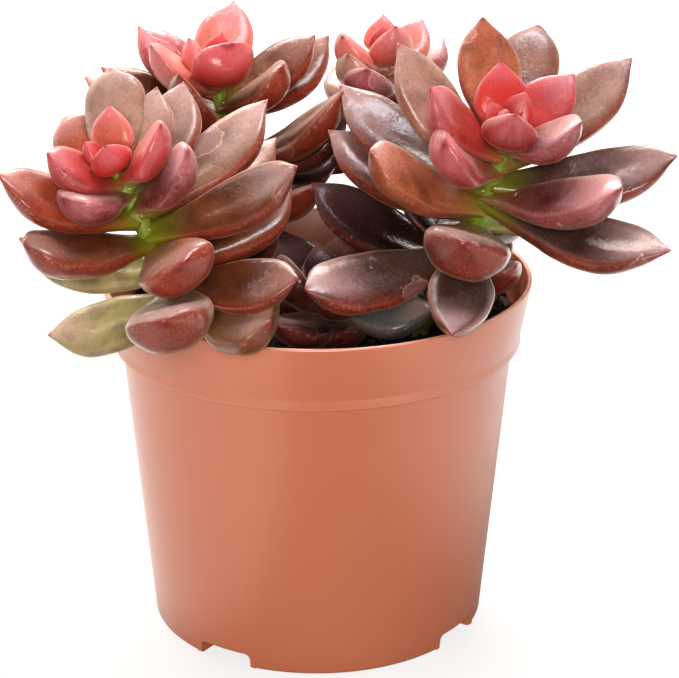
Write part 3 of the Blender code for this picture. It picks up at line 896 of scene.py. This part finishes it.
def crumbs_tree():
    """Scatters crumbs over the upward faces, each turned and sized at random."""
    wires, given, made = geometry_tree("Scattered Crumbs", (
        ("Forms", "Collection"), ("Density", "Float"), ("Size", "Float"), ("Edge", "Float"),
        ("Lowest", "Float"), ("Seed", "Int"), ("Material", "Material"),
    ))
    normal = wires.out("GeometryNodeInputNormal", "Normal")
    facing = wires.out("ShaderNodeSeparateXYZ", "Z", {"Vector": normal})
    place = wires.out("GeometryNodeInputPosition", "Position")
    parts = wires.add("ShaderNodeSeparateXYZ", {"Vector": place})
    flat = wires.out("ShaderNodeCombineXYZ", "Vector", {
        "X": parts.outputs["X"], "Y": parts.outputs["Y"]})
    away = wires.add("ShaderNodeVectorMath", {0: flat}, operation="LENGTH").outputs["Value"]
    inside = wires.math("MULTIPLY", wires.math("GREATER_THAN", facing, 0.6),
                        wires.math("MULTIPLY", wires.math("LESS_THAN", away, given["Edge"]),
                                   wires.math("GREATER_THAN", parts.outputs["Z"], given["Lowest"])))
    points = wires.out("GeometryNodeDistributePointsOnFaces", "Points", {
        "Mesh": given["Geometry"], "Density": given["Density"], "Seed": given["Seed"],
        "Selection": inside,
    }, distribute_method="RANDOM")
    forms = wires.out("GeometryNodeCollectionInfo", "Instances", {
        "Collection": given["Forms"], "Separate Children": True, "Reset Children": True})
    turn = wires.out("FunctionNodeRandomValue", "Value", {
        "Max": (6.283, 6.283, 6.283), "Seed": given["Seed"]}, data_type="FLOAT_VECTOR")
    size = wires.out("FunctionNodeRandomValue", "Value", {
        "Min": 0.25, "Max": 1.0, "Seed": wires.math("ADD", given["Seed"], 1)}, data_type="FLOAT")
    size = wires.math("MULTIPLY", wires.math("MULTIPLY_ADD", wires.math("MULTIPLY", size, size), 1.2, 0.35),
                      given["Size"])
    pick = wires.out("FunctionNodeRandomValue", "Value", {
        "Min": 0, "Max": 5, "Seed": wires.math("ADD", given["Seed"], 2)}, data_type="INT")
    laid = wires.out("GeometryNodeInstanceOnPoints", "Instances", {
        "Points": points, "Instance": forms, "Pick Instance": True, "Instance Index": pick,
        "Rotation": turn, "Scale": size})
    tone = wires.out("FunctionNodeRandomValue", "Value", {
        "Min": 0, "Max": 1, "Seed": wires.math("ADD", given["Seed"], 3)}, data_type="FLOAT")
    toned = wires.out("GeometryNodeStoreNamedAttribute", "Geometry", {
        "Geometry": laid, "Name": "tone", "Value": tone}, data_type="FLOAT", domain="INSTANCE")
    real = wires.out("GeometryNodeRealizeInstances", "Geometry", {"Geometry": toned})
    wires.put(made, "Geometry", wires.out("GeometryNodeSetMaterial", "Geometry", {
        "Geometry": real, "Material": given["Material"]}))
    return wires.tree


def put_away(objects):
    """Removes helpers once what they made is plain."""
    for made in objects:
        bpy.data.objects.remove(made)


class GHOSTPLANT_OT_mix(bpy.types.Operator):
    """Fills the pot with potting mix and scatters crumbs over it"""

    bl_idname = "ghost_plant.mix"
    bl_label = "Build Potting Mix"

    def execute(self, context):
        pot, look = context.scene.ghost_plant_pot, context.scene.ghost_plant_mix
        peat = mix_peat(look)
        bed = mix_bed(pot, "mix_bed")
        crumbs = plain_object("mix_crumbs", bed.data.copy())
        forms = bpy.data.collections.new("crumb_forms")
        shapes = ((0.9, 0.7), (0.7, 0.8), (0.8, 0.5), (0.45, 0.35), (0.22, 0.18), (1, 0.8))
        for k, squash in enumerate(shapes):
            form = crumb(f"crumb_{k}", 5 * k, squash)
            context.scene.collection.objects.unlink(form)
            forms.objects.link(form)
        inner = pot.rim_radius - pot.wall - 3 * MM
        grow(crumbs, crumbs_tree(), {
            "Forms": forms, "Density": float(look.crumbs), "Size": look.crumb_size, "Edge": inner,
            "Lowest": MIX_TOP - 3 * MM, "Seed": look.seed, "Material": peat,
        })
        put_away(list(forms.objects))
        bpy.data.collections.remove(forms)
        finish(bed, "potting_mix", "potting_mix", material=peat)
        finish(crumbs, "potting_mix", crease=70)
        return {"FINISHED"}


def smooth_path(marks):
    """Points along a smooth curve through the marks."""
    marks = [2 * marks[0] - marks[1], *marks, 2 * marks[-1] - marks[-2]]
    points = []
    for a, b, c, d in zip(marks, marks[1:], marks[2:], marks[3:]):
        for k in range(STEM_STEPS):
            s = k / STEM_STEPS
            slope, bend, twist = c - a, 2 * a - 5 * b + 4 * c - d, 3 * b - a - 3 * c + d
            points.append((2 * b + slope * s + bend * s**2 + twist * s**3) / 2)
    points.append(marks[-2])
    return points


def below_crown(points, drop):
    """The point on the stem this far below its crown."""
    for upper, lower in zip(points[::-1], points[-2::-1]):
        step = (upper - lower).length
        if drop <= step:
            return upper.lerp(lower, drop / step)
        drop -= step
    return points[0]


def stem_points(stem):
    """The stem's smooth path from its foot on the mix to its crown, in the frame."""
    foot = Vector((*stem["foot"], 0)) * MM + Vector((0, 0, MIX_TOP))
    return smooth_path([foot + Vector(mark) * MM for mark in stem["path"]])


def ease(value):
    value = min(max(value, 0), 1)
    return value * value * (3 - 2 * value)


def leaf_outline(at, belly, bluntness):
    """How wide and how deep a leaf is at a share of its length, as shares of its most."""
    wide = LEAF_FOOT_WIDTH + (1 - LEAF_FOOT_WIDTH) * ease(at / belly)
    deep = LEAF_FOOT_DEPTH + (1 - LEAF_FOOT_DEPTH) * ease(at * 2)
    if at > belly:
        wide = 1 - ((at - belly) / (1 - belly)) ** bluntness
    if at > 0.5:
        deep = 1 - (at * 2 - 1) ** (bluntness + 0.4)
    return wide, deep


def leaf_form(name, look, belly, bluntness, channel, keel):
    """A leaf 1 long and 1 wide, with a channel along its upper side and a keel under its end."""
    shape = bmesh.new()
    bmesh.ops.create_uvsphere(shape, u_segments=look.sides, v_segments=look.stations, radius=1)
    along = shape.verts.layers.float.new("share")
    sideways = shape.verts.layers.float.new("side")
    unit = shape.verts.layers.float_vector.new("unit_at")
    for vertex in shape.verts:
        at = 1 - (math.acos(min(max(vertex.co.z, -1), 1)) / math.pi) ** 1.2
        angle = math.atan2(vertex.co.y, vertex.co.x)
        if abs(vertex.co.z) > 1 - 1e-6:
            angle = 0
        wide, deep = leaf_outline(at, belly, bluntness)
        across, high = math.cos(angle), math.sin(angle)
        if high >= 0:
            hollow = channel * math.exp(-((across / 0.5) ** 2)) * ease(at / 0.3) * ease((1 - at) / 0.3)
            z = LEAF_UPPER_SHARE * deep * (high**0.9 - hollow * high)
        else:
            ridge = keel * ease((-high - 0.5) * 2) * ease((at - 0.35) / 0.3)
            z = -(1 - LEAF_UPPER_SHARE) * deep * ((-high) ** 0.92 + ridge)
        across = math.copysign(abs(across) ** 0.92, across)
        reach = at + 0.015 * ease((at - 0.95) / 0.05)
        vertex[along] = at
        vertex[sideways] = high if 0 < at < 1 else 0
        vertex.co = (wide * across / 2, reach, z)
        vertex[unit] = vertex.co
    return object_of(name, shape)


def leaves_tree():
    """Sets a leaf on each point, along and up as the point says, then bends it and makes it uneven."""
    wires, given, made = geometry_tree("Leaf Rosette", (
        ("Forms", "Collection"), ("Widest", "Float"), ("Growth", "Float"), ("Depth", "Float"),
        ("Sag", "Float"), ("Sunk", "Float"), ("Waver", "Float"), ("Seed", "Float"), ("Sun", "Vector"),
        ("Material", "Material"),
    ))

    def named(name, kind="FLOAT"):
        return wires.out("GeometryNodeInputNamedAttribute", "Attribute", {"Name": name}, data_type=kind)

    long, up, along = named("long"), named("up", "FLOAT_VECTOR"), named("along", "FLOAT_VECTOR")
    slim = wires.math("EXPONENT", wires.math("DIVIDE", wires.math("MULTIPLY", long, -1), given["Growth"]))
    width = wires.math("MULTIPLY", wires.math("MULTIPLY", given["Widest"], wires.math("SUBTRACT", 1, slim)),
                       named("stout"))
    deep = wires.math("MULTIPLY", width, given["Depth"])
    size = wires.out("ShaderNodeCombineXYZ", "Vector", {"X": width, "Y": long, "Z": deep})
    sized = wires.out("GeometryNodeStoreNamedAttribute", "Geometry", {
        "Geometry": given["Geometry"], "Name": "size", "Value": size,
    }, data_type="FLOAT_VECTOR", domain="POINT")
    turn = wires.out("FunctionNodeAxesToRotation", "Rotation", {
        "Primary Axis": along, "Secondary Axis": up}, primary_axis="Y", secondary_axis="Z")
    forms = wires.out("GeometryNodeCollectionInfo", "Instances", {
        "Collection": given["Forms"], "Separate Children": True, "Reset Children": True})
    laid = wires.out("GeometryNodeInstanceOnPoints", "Instances", {
        "Points": sized, "Instance": forms, "Pick Instance": True,
        "Instance Index": named("form", "INT"), "Rotation": turn, "Scale": size})
    real = wires.out("GeometryNodeRealizeInstances", "Geometry", {"Geometry": laid})

    at = named("share")
    rest = wires.math("SUBTRACT", 1, at)
    bow = wires.math("MULTIPLY", wires.math("MULTIPLY", at, rest), wires.math("MULTIPLY", given["Sag"], -4))
    sag = wires.vector_math("SCALE", up, scale=wires.math("MULTIPLY", bow, long))
    sunk = wires.vector_math("SCALE", along, scale=wires.math(
        "MULTIPLY", rest, wires.math("MULTIPLY", given["Sunk"], -1)))
    sway = wires.vector_math("SCALE", wires.vector_math("CROSS_PRODUCT", along, up), scale=wires.math(
        "MULTIPLY", wires.math("MULTIPLY", at, at), wires.math("MULTIPLY", long, named("curl"))))
    place = wires.out("GeometryNodeInputPosition", "Position")
    swell = wires.out("ShaderNodeTexNoise", "Color", {
        "Vector": place, "Scale": 70, "Detail": 1, "W": wires.math("ADD", given["Seed"], named("age"))},
        noise_dimensions="4D")
    centred = wires.vector_math("SUBTRACT", swell, (0.5, 0.5, 0.5))
    waver = wires.vector_math("SCALE", centred, scale=wires.math(
        "MULTIPLY", wires.math("MULTIPLY", given["Waver"], 2), wires.ramp(at, 0.1, 0.5)))
    offset = wires.vector_math("ADD", wires.vector_math("ADD", sag, sunk),
                               wires.vector_math("ADD", sway, waver))
    bent = wires.out("GeometryNodeSetPosition", "Geometry", {"Geometry": real, "Offset": offset})
    drawn = wires.vector_math("SCALE", wires.vector_math("ADD", (0.7, 0.3, 0.5), up), scale=wires.math(
        "MULTIPLY", named("tint"), 0.4))
    inner = wires.vector_math("ADD", drawn, wires.vector_math(
        "MULTIPLY", named("unit_at", "FLOAT_VECTOR"), named("size", "FLOAT_VECTOR")))
    mapped = wires.out("GeometryNodeStoreNamedAttribute", "Geometry", {
        "Geometry": bent, "Name": "leaf_at", "Value": inner,
    }, data_type="FLOAT_VECTOR", domain="POINT")
    # How much each point faces the sun vector, the key light's direction, kept as the sun attribute for the
    # skin's painted light and shade.
    normal = wires.out("GeometryNodeInputNormal", "Normal")
    light_facing = wires.add("ShaderNodeVectorMath", {0: normal, 1: given["Sun"]}, operation="DOT_PRODUCT")
    with_light_facing = wires.out("GeometryNodeStoreNamedAttribute", "Geometry", {
        "Geometry": mapped, "Name": "sun", "Value": light_facing.outputs["Value"],
    }, data_type="FLOAT", domain="POINT")
    wires.put(made, "Geometry", wires.out("GeometryNodeSetMaterial", "Geometry", {
        "Geometry": with_light_facing, "Material": given["Material"]}))
    return wires.tree


def leaf_points(name, stem, look):
    """A point for each leaf of a stem, with what the leaf tree and the leaf skin read."""
    tones = {
        "c": look.coral, "r": look.rose, "l": look.lilac, "s": look.salmon, "o": look.orange,
        "b": look.brown, "m": look.mauve, "e": look.beige, "g": look.sage, "t": look.teal,
        "p": look.olive, "d": look.dark, "k": look.pink, "n": look.fawn,
    }
    waxy = {"c": 0.25, "r": 0.5, "l": 1, "s": 0.5, "o": 0.75, "b": 0.35, "m": 0.65, "e": 0.8, "g": 0.4,
            "p": 0.6, "t": 0.7, "d": 0.12, "k": 0.5, "n": 0.8}
    warmed = {"c": 0.25, "r": 0.35, "l": 0.4, "e": 0.55, "g": 0.1, "p": 0.4, "t": 0.1, "d": 0.25, "k": 0.3,
              "o": 0.5}
    flushed = {"k": 1, "c": 0.65, "r": 0.7, "l": 0.7}
    draw = random.Random(name)
    faces = Vector(stem["faces"]).normalized()
    points = stem_points(stem)
    rows = []
    for i, (heading, rise, long, *stout) in enumerate(stem["leaves"]):
        heading, rise = math.radians(heading), math.radians(rise)
        level = Vector((math.cos(heading), math.sin(heading), 0))
        along = level * math.cos(rise) + Vector((0, 0, math.sin(rise)))
        age = i / (len(stem["leaves"]) - 1)
        tone = stem["tones"][i]
        shade = draw.uniform(0.9, 1.1)
        rows.append(dict(
            place=below_crown(points, stem["lowest"] * MM * age**1.5),
            along=along,
            up=(faces - faces.dot(along) * along).normalized(),
            long=long * MM,
            stout=stout[0] if stout else 1,
            form=stem["shaped"].get(i, (long > LONGEST_BUD) + (long > LONGEST_HALF_GROWN)),
            age=age,
            tint=draw.random(),
            curl=draw.uniform(-0.06, 0.06),
            wax=waxy[tone] * draw.uniform(0.8, 1.15),
            flush=flushed.get(tone, 0.15),
            warm=warmed.get(tone, 0.85),
            sap=stem["sap"] * (1 if tone in "gsobmep" else 0.6),
            skin=(*(channel * shade for channel in tones[tone][:3]), 1),
        ))
    mesh = bpy.data.meshes.new(name)
    mesh.from_pydata([row["place"] for row in rows], [], [])
    kinds = {"along": "FLOAT_VECTOR", "up": "FLOAT_VECTOR", "form": "INT", "skin": "FLOAT_COLOR"}
    for key in rows[0]:
        if key == "place":
            continue
        kind = kinds.get(key, "FLOAT")
        layer = mesh.attributes.new(key, kind, "POINT")
        values = [row[key] for row in rows]
        if kind in ("FLOAT", "INT"):
            layer.data.foreach_set("value", values)
        else:
            flat = [number for value in values for number in value]
            layer.data.foreach_set("color" if kind == "FLOAT_COLOR" else "vector", flat)
    return plain_object(name, mesh)


class GHOSTPLANT_OT_leaves(bpy.types.Operator):
    """Grows the leaves of every stem, each set on its stalk as in the frame"""

    bl_idname = "ghost_plant.leaves"
    bl_label = "Build Leaves"

    def execute(self, context):
        look = context.scene.ghost_plant_leaves
        skin, tree = leaf_skin(look), leaves_tree()
        forms = bpy.data.collections.new("leaf_forms")
        for k, shape in enumerate(LEAF_FORMS):
            form = leaf_form(f"leaf_form_{k}", look, *shape)
            context.scene.collection.objects.unlink(form)
            forms.objects.link(form)
        for seed, (name, stem) in enumerate(STEMS.items()):
            made = leaf_points(name + "_leaves", stem, look)
            grow(made, tree, {
                "Forms": forms, "Widest": look.widest, "Growth": look.growth, "Depth": look.depth,
                "Sag": look.sag, "Sunk": look.sunk, "Waver": look.waver, "Seed": float(seed * 7),
                "Sun": Vector(look.sun).normalized(), "Material": skin,
            })
            finish(made, "leaves", name, crease=180)
        put_away(list(forms.objects))
        bpy.data.collections.remove(forms)
        return {"FINISHED"}


def stalk_tree():
    """A round stalk along a path, thinner towards its crown, with an uneven skin."""
    wires, given, made = geometry_tree("Stalk", (
        ("Foot Radius", "Float"), ("Crown Radius", "Float"), ("Sides", "Int"), ("Rise", "Float"),
        ("Material", "Material"),
    ))
    curve = wires.out("GeometryNodeMeshToCurve", "Curve", {"Mesh": given["Geometry"]})
    even = wires.out("GeometryNodeResampleCurve", "Curve", {"Curve": curve, "Length": 0.6 * MM},
                     mode="LENGTH")
    along = wires.out("GeometryNodeSplineParameter", "Factor")
    marked = wires.out("GeometryNodeStoreNamedAttribute", "Geometry", {
        "Geometry": even, "Name": "up_stalk", "Value": along}, data_type="FLOAT", domain="POINT")
    taper = wires.out("ShaderNodeMapRange", "Result", {
        "Value": along, "From Min": given["Rise"], "From Max": 1,
        "To Min": given["Foot Radius"], "To Max": given["Crown Radius"]})
    thick = wires.out("GeometryNodeSetCurveRadius", "Curve", {"Curve": marked, "Radius": taper})
    ring = wires.out("GeometryNodeCurvePrimitiveCircle", "Curve", {
        "Resolution": given["Sides"], "Radius": 1})
    tube = wires.out("GeometryNodeCurveToMesh", "Mesh", {
        "Curve": thick, "Profile Curve": ring, "Scale": taper, "Fill Caps": True})
    place = wires.out("GeometryNodeInputPosition", "Position")
    normal = wires.out("GeometryNodeInputNormal", "Normal")
    lumps = wires.math("SUBTRACT", wires.noise(place, 320, 2), 0.5)
    uneven = wires.out("GeometryNodeSetPosition", "Geometry", {
        "Geometry": tube, "Offset": wires.vector_math(
            "SCALE", normal, scale=wires.math("MULTIPLY", lumps, 0.2 * MM))})
    wires.put(made, "Geometry", wires.out("GeometryNodeSetMaterial", "Geometry", {
        "Geometry": uneven, "Material": given["Material"]}))
    return wires.tree


class GHOSTPLANT_OT_stalks(bpy.types.Operator):
    """Runs each stalk from its root in the mix to its crown"""

    bl_idname = "ghost_plant.stalks"
    bl_label = "Build Stalks"

    def execute(self, context):
        look = context.scene.ghost_plant_stalks
        skin, tree = stalk_skin(look), stalk_tree()
        for name, stem in STEMS.items():
            points = stem_points(stem)
            root = points[0] - Vector((0, 0, look.root))
            mesh = bpy.data.meshes.new(name)
            path = [root, *points]
            mesh.from_pydata(path, [(k, k + 1) for k in range(len(path) - 1)], [])
            made = plain_object(name.replace("stem", "stalk").replace("shoot", "short_stalk"), mesh)
            total = sum((b - a).length for a, b in zip(path, path[1:]))
            grow(made, tree, {
                "Foot Radius": look.foot_radius - 0.2 * MM, "Crown Radius": look.crown_radius,
                "Sides": look.sides, "Rise": look.root / total, "Material": skin,
            })
            finish(made, "leaves", name)
        return {"FINISHED"}


def softbox(name, place, target, size, power, colour):
    """An area light at a place, turned to the target."""
    light = bpy.data.lights.new(name, "AREA")
    light.shape = "RECTANGLE"
    light.size, light.size_y = size
    light.energy = power
    light.color = colour
    lamp = bpy.data.objects.new(name, light)
    bpy.context.scene.collection.objects.link(lamp)
    lamp.location = place
    lamp.rotation_euler = (Vector(target) - Vector(place)).to_track_quat("-Z", "Y").to_euler()


class GHOSTPLANT_OT_stage(bpy.types.Operator):
    """Lays the floor, hangs the lights and sets up the camera"""

    bl_idname = "ghost_plant.stage"
    bl_label = "Build Stage"

    def execute(self, context):
        look = context.scene.ghost_plant_stage
        target = Vector(look.target)
        lens = bpy.data.cameras.new("camera")
        lens.lens = look.lens
        lens.sensor_fit = "HORIZONTAL"
        lens.clip_start = 0.01
        camera = plain_object("camera", lens)
        sight = Vector((0, math.cos(look.elevation), -math.sin(look.elevation)))
        camera.location = target - sight * look.distance
        camera.rotation_euler = sight.to_track_quat("-Z", "Y").to_euler()
        context.scene.camera = camera

        shape = bmesh.new()
        bmesh.ops.create_grid(shape, x_segments=1, y_segments=1, size=look.floor_size / 2)
        floor = object_of("floor", shape)
        paper, wires, shader = surface("floor_paper", roughness=0.8, specular_ior_level=0.1)
        at = wires.out("ShaderNodeTexCoord", "Object")
        fibres = wires.math("MULTIPLY", wires.noise(at, 900, 3), 0.08)
        wires.put(shader, "Base Color", wires.mix(fibres, look.floor, linear("8C8A86")))
        seen = wires.out("ShaderNodeLightPath", "Is Camera Ray")
        mirrored = wires.out("ShaderNodeLightPath", "Is Glossy Ray")
        across = wires.out("ShaderNodeSeparateXYZ", "X", {"Vector": at})
        lit = wires.math("ADD", wires.ramp(across, -0.02, -0.055), wires.ramp(across, 0.05, 0.14, 0, 1.3))
        shine = wires.math("MULTIPLY", mirrored, wires.math("MULTIPLY_ADD", lit, look.shine, 0.1))
        wires.put(shader, "Emission Color", linear("FFFFFF"))
        away = wires.add("ShaderNodeVectorMath", {0: at}, operation="LENGTH").outputs["Value"]
        glow = wires.ramp(away, 0.15, 0.5, look.glow, 1)
        wires.put(shader, "Emission Strength", wires.math("MULTIPLY_ADD", seen, glow, shine))
        floor.data.materials.append(paper)

        world = bpy.data.worlds.new("studio")
        world.use_nodes = True
        world.node_tree.nodes.clear()
        wires = Wires(world.node_tree)
        seen = wires.out("ShaderNodeLightPath", "Is Camera Ray")
        mirrored = wires.out("ShaderNodeLightPath", "Is Glossy Ray")
        around = wires.math("MULTIPLY_ADD", mirrored, 0.12, look.sky)
        light = wires.out("ShaderNodeBackground", "Background", {
            "Color": (1, 1, 1, 1), "Strength": wires.math("MAXIMUM", seen, around)})
        wires.add("ShaderNodeOutputWorld", {"Surface": light})
        context.scene.world = world
        context.scene.view_settings.view_transform = "Standard"
        context.scene.view_settings.look = "Medium High Contrast"
        for name, heading, height, distance, size, power, code in (
            ("left", 112, 0.35, 0.85, (0.9, 0.8), 4.6, "FFFCF8"),
            ("right", -115, 0.35, 0.9, (0.7, 0.8), 2.6, "FFFBF6"),
            ("back", 172, 0.7, 0.6, (0.7, 0.4), 9, "FFF9F0"),
            ("overhead", -80, 0.95, 0.2, (0.3, 0.3), 5, "F2F4FF"),
            ("front", 0, 0.42, 1.0, (0.4, 0.4), 7, "FFFAF4"),
        ):
            turn = math.radians(heading)
            place = Vector((-math.sin(turn) * distance, -math.cos(turn) * distance, height))
            softbox(name, place, target, size, power, linear(code)[:3])
        return {"FINISHED"}


class GHOSTPLANT_PT_panel(bpy.types.Panel):
    """Lists the plant's pieces and the stage"""

    bl_idname = "GHOSTPLANT_PT_panel"
    bl_label = "Potted ghost plant"
    bl_space_type = "VIEW_3D"
    bl_region_type = "UI"
    bl_category = "Ghost Plant"

    def draw(self, context):
        for settings, operator in zip(SETTINGS, OPERATORS):
            box = self.layout.box()
            box.operator(operator.bl_idname)
            look = getattr(context.scene, settings)
            for key in look.bl_rna.properties.keys():
                if key not in ("rna_type", "name"):
                    box.prop(look, key)


SETTINGS = {
    "ghost_plant_pot": GhostPlantPot,
    "ghost_plant_mix": GhostPlantMix,
    "ghost_plant_stalks": GhostPlantStalks,
    "ghost_plant_leaves": GhostPlantLeaves,
    "ghost_plant_stage": GhostPlantStage,
}
OPERATORS = (
    GHOSTPLANT_OT_pot, GHOSTPLANT_OT_mix, GHOSTPLANT_OT_stalks, GHOSTPLANT_OT_leaves,
    GHOSTPLANT_OT_stage,
)


def register():
    for kind in (*SETTINGS.values(), *OPERATORS, GHOSTPLANT_PT_panel):
        bpy.utils.register_class(kind)
    for name, kind in SETTINGS.items():
        setattr(bpy.types.Scene, name, PointerProperty(type=kind))


def unregister():
    for name in SETTINGS:
        delattr(bpy.types.Scene, name)
    for kind in (GHOSTPLANT_PT_panel, *OPERATORS[::-1], *tuple(SETTINGS.values())[::-1]):
        bpy.utils.unregister_class(kind)


def main():
    register()
    bpy.ops.ghost_plant.pot()
    bpy.ops.ghost_plant.mix()
    bpy.ops.ghost_plant.stalks()
    bpy.ops.ghost_plant.leaves()
    bpy.ops.ghost_plant.stage()


if __name__ == "__main__":
    main()
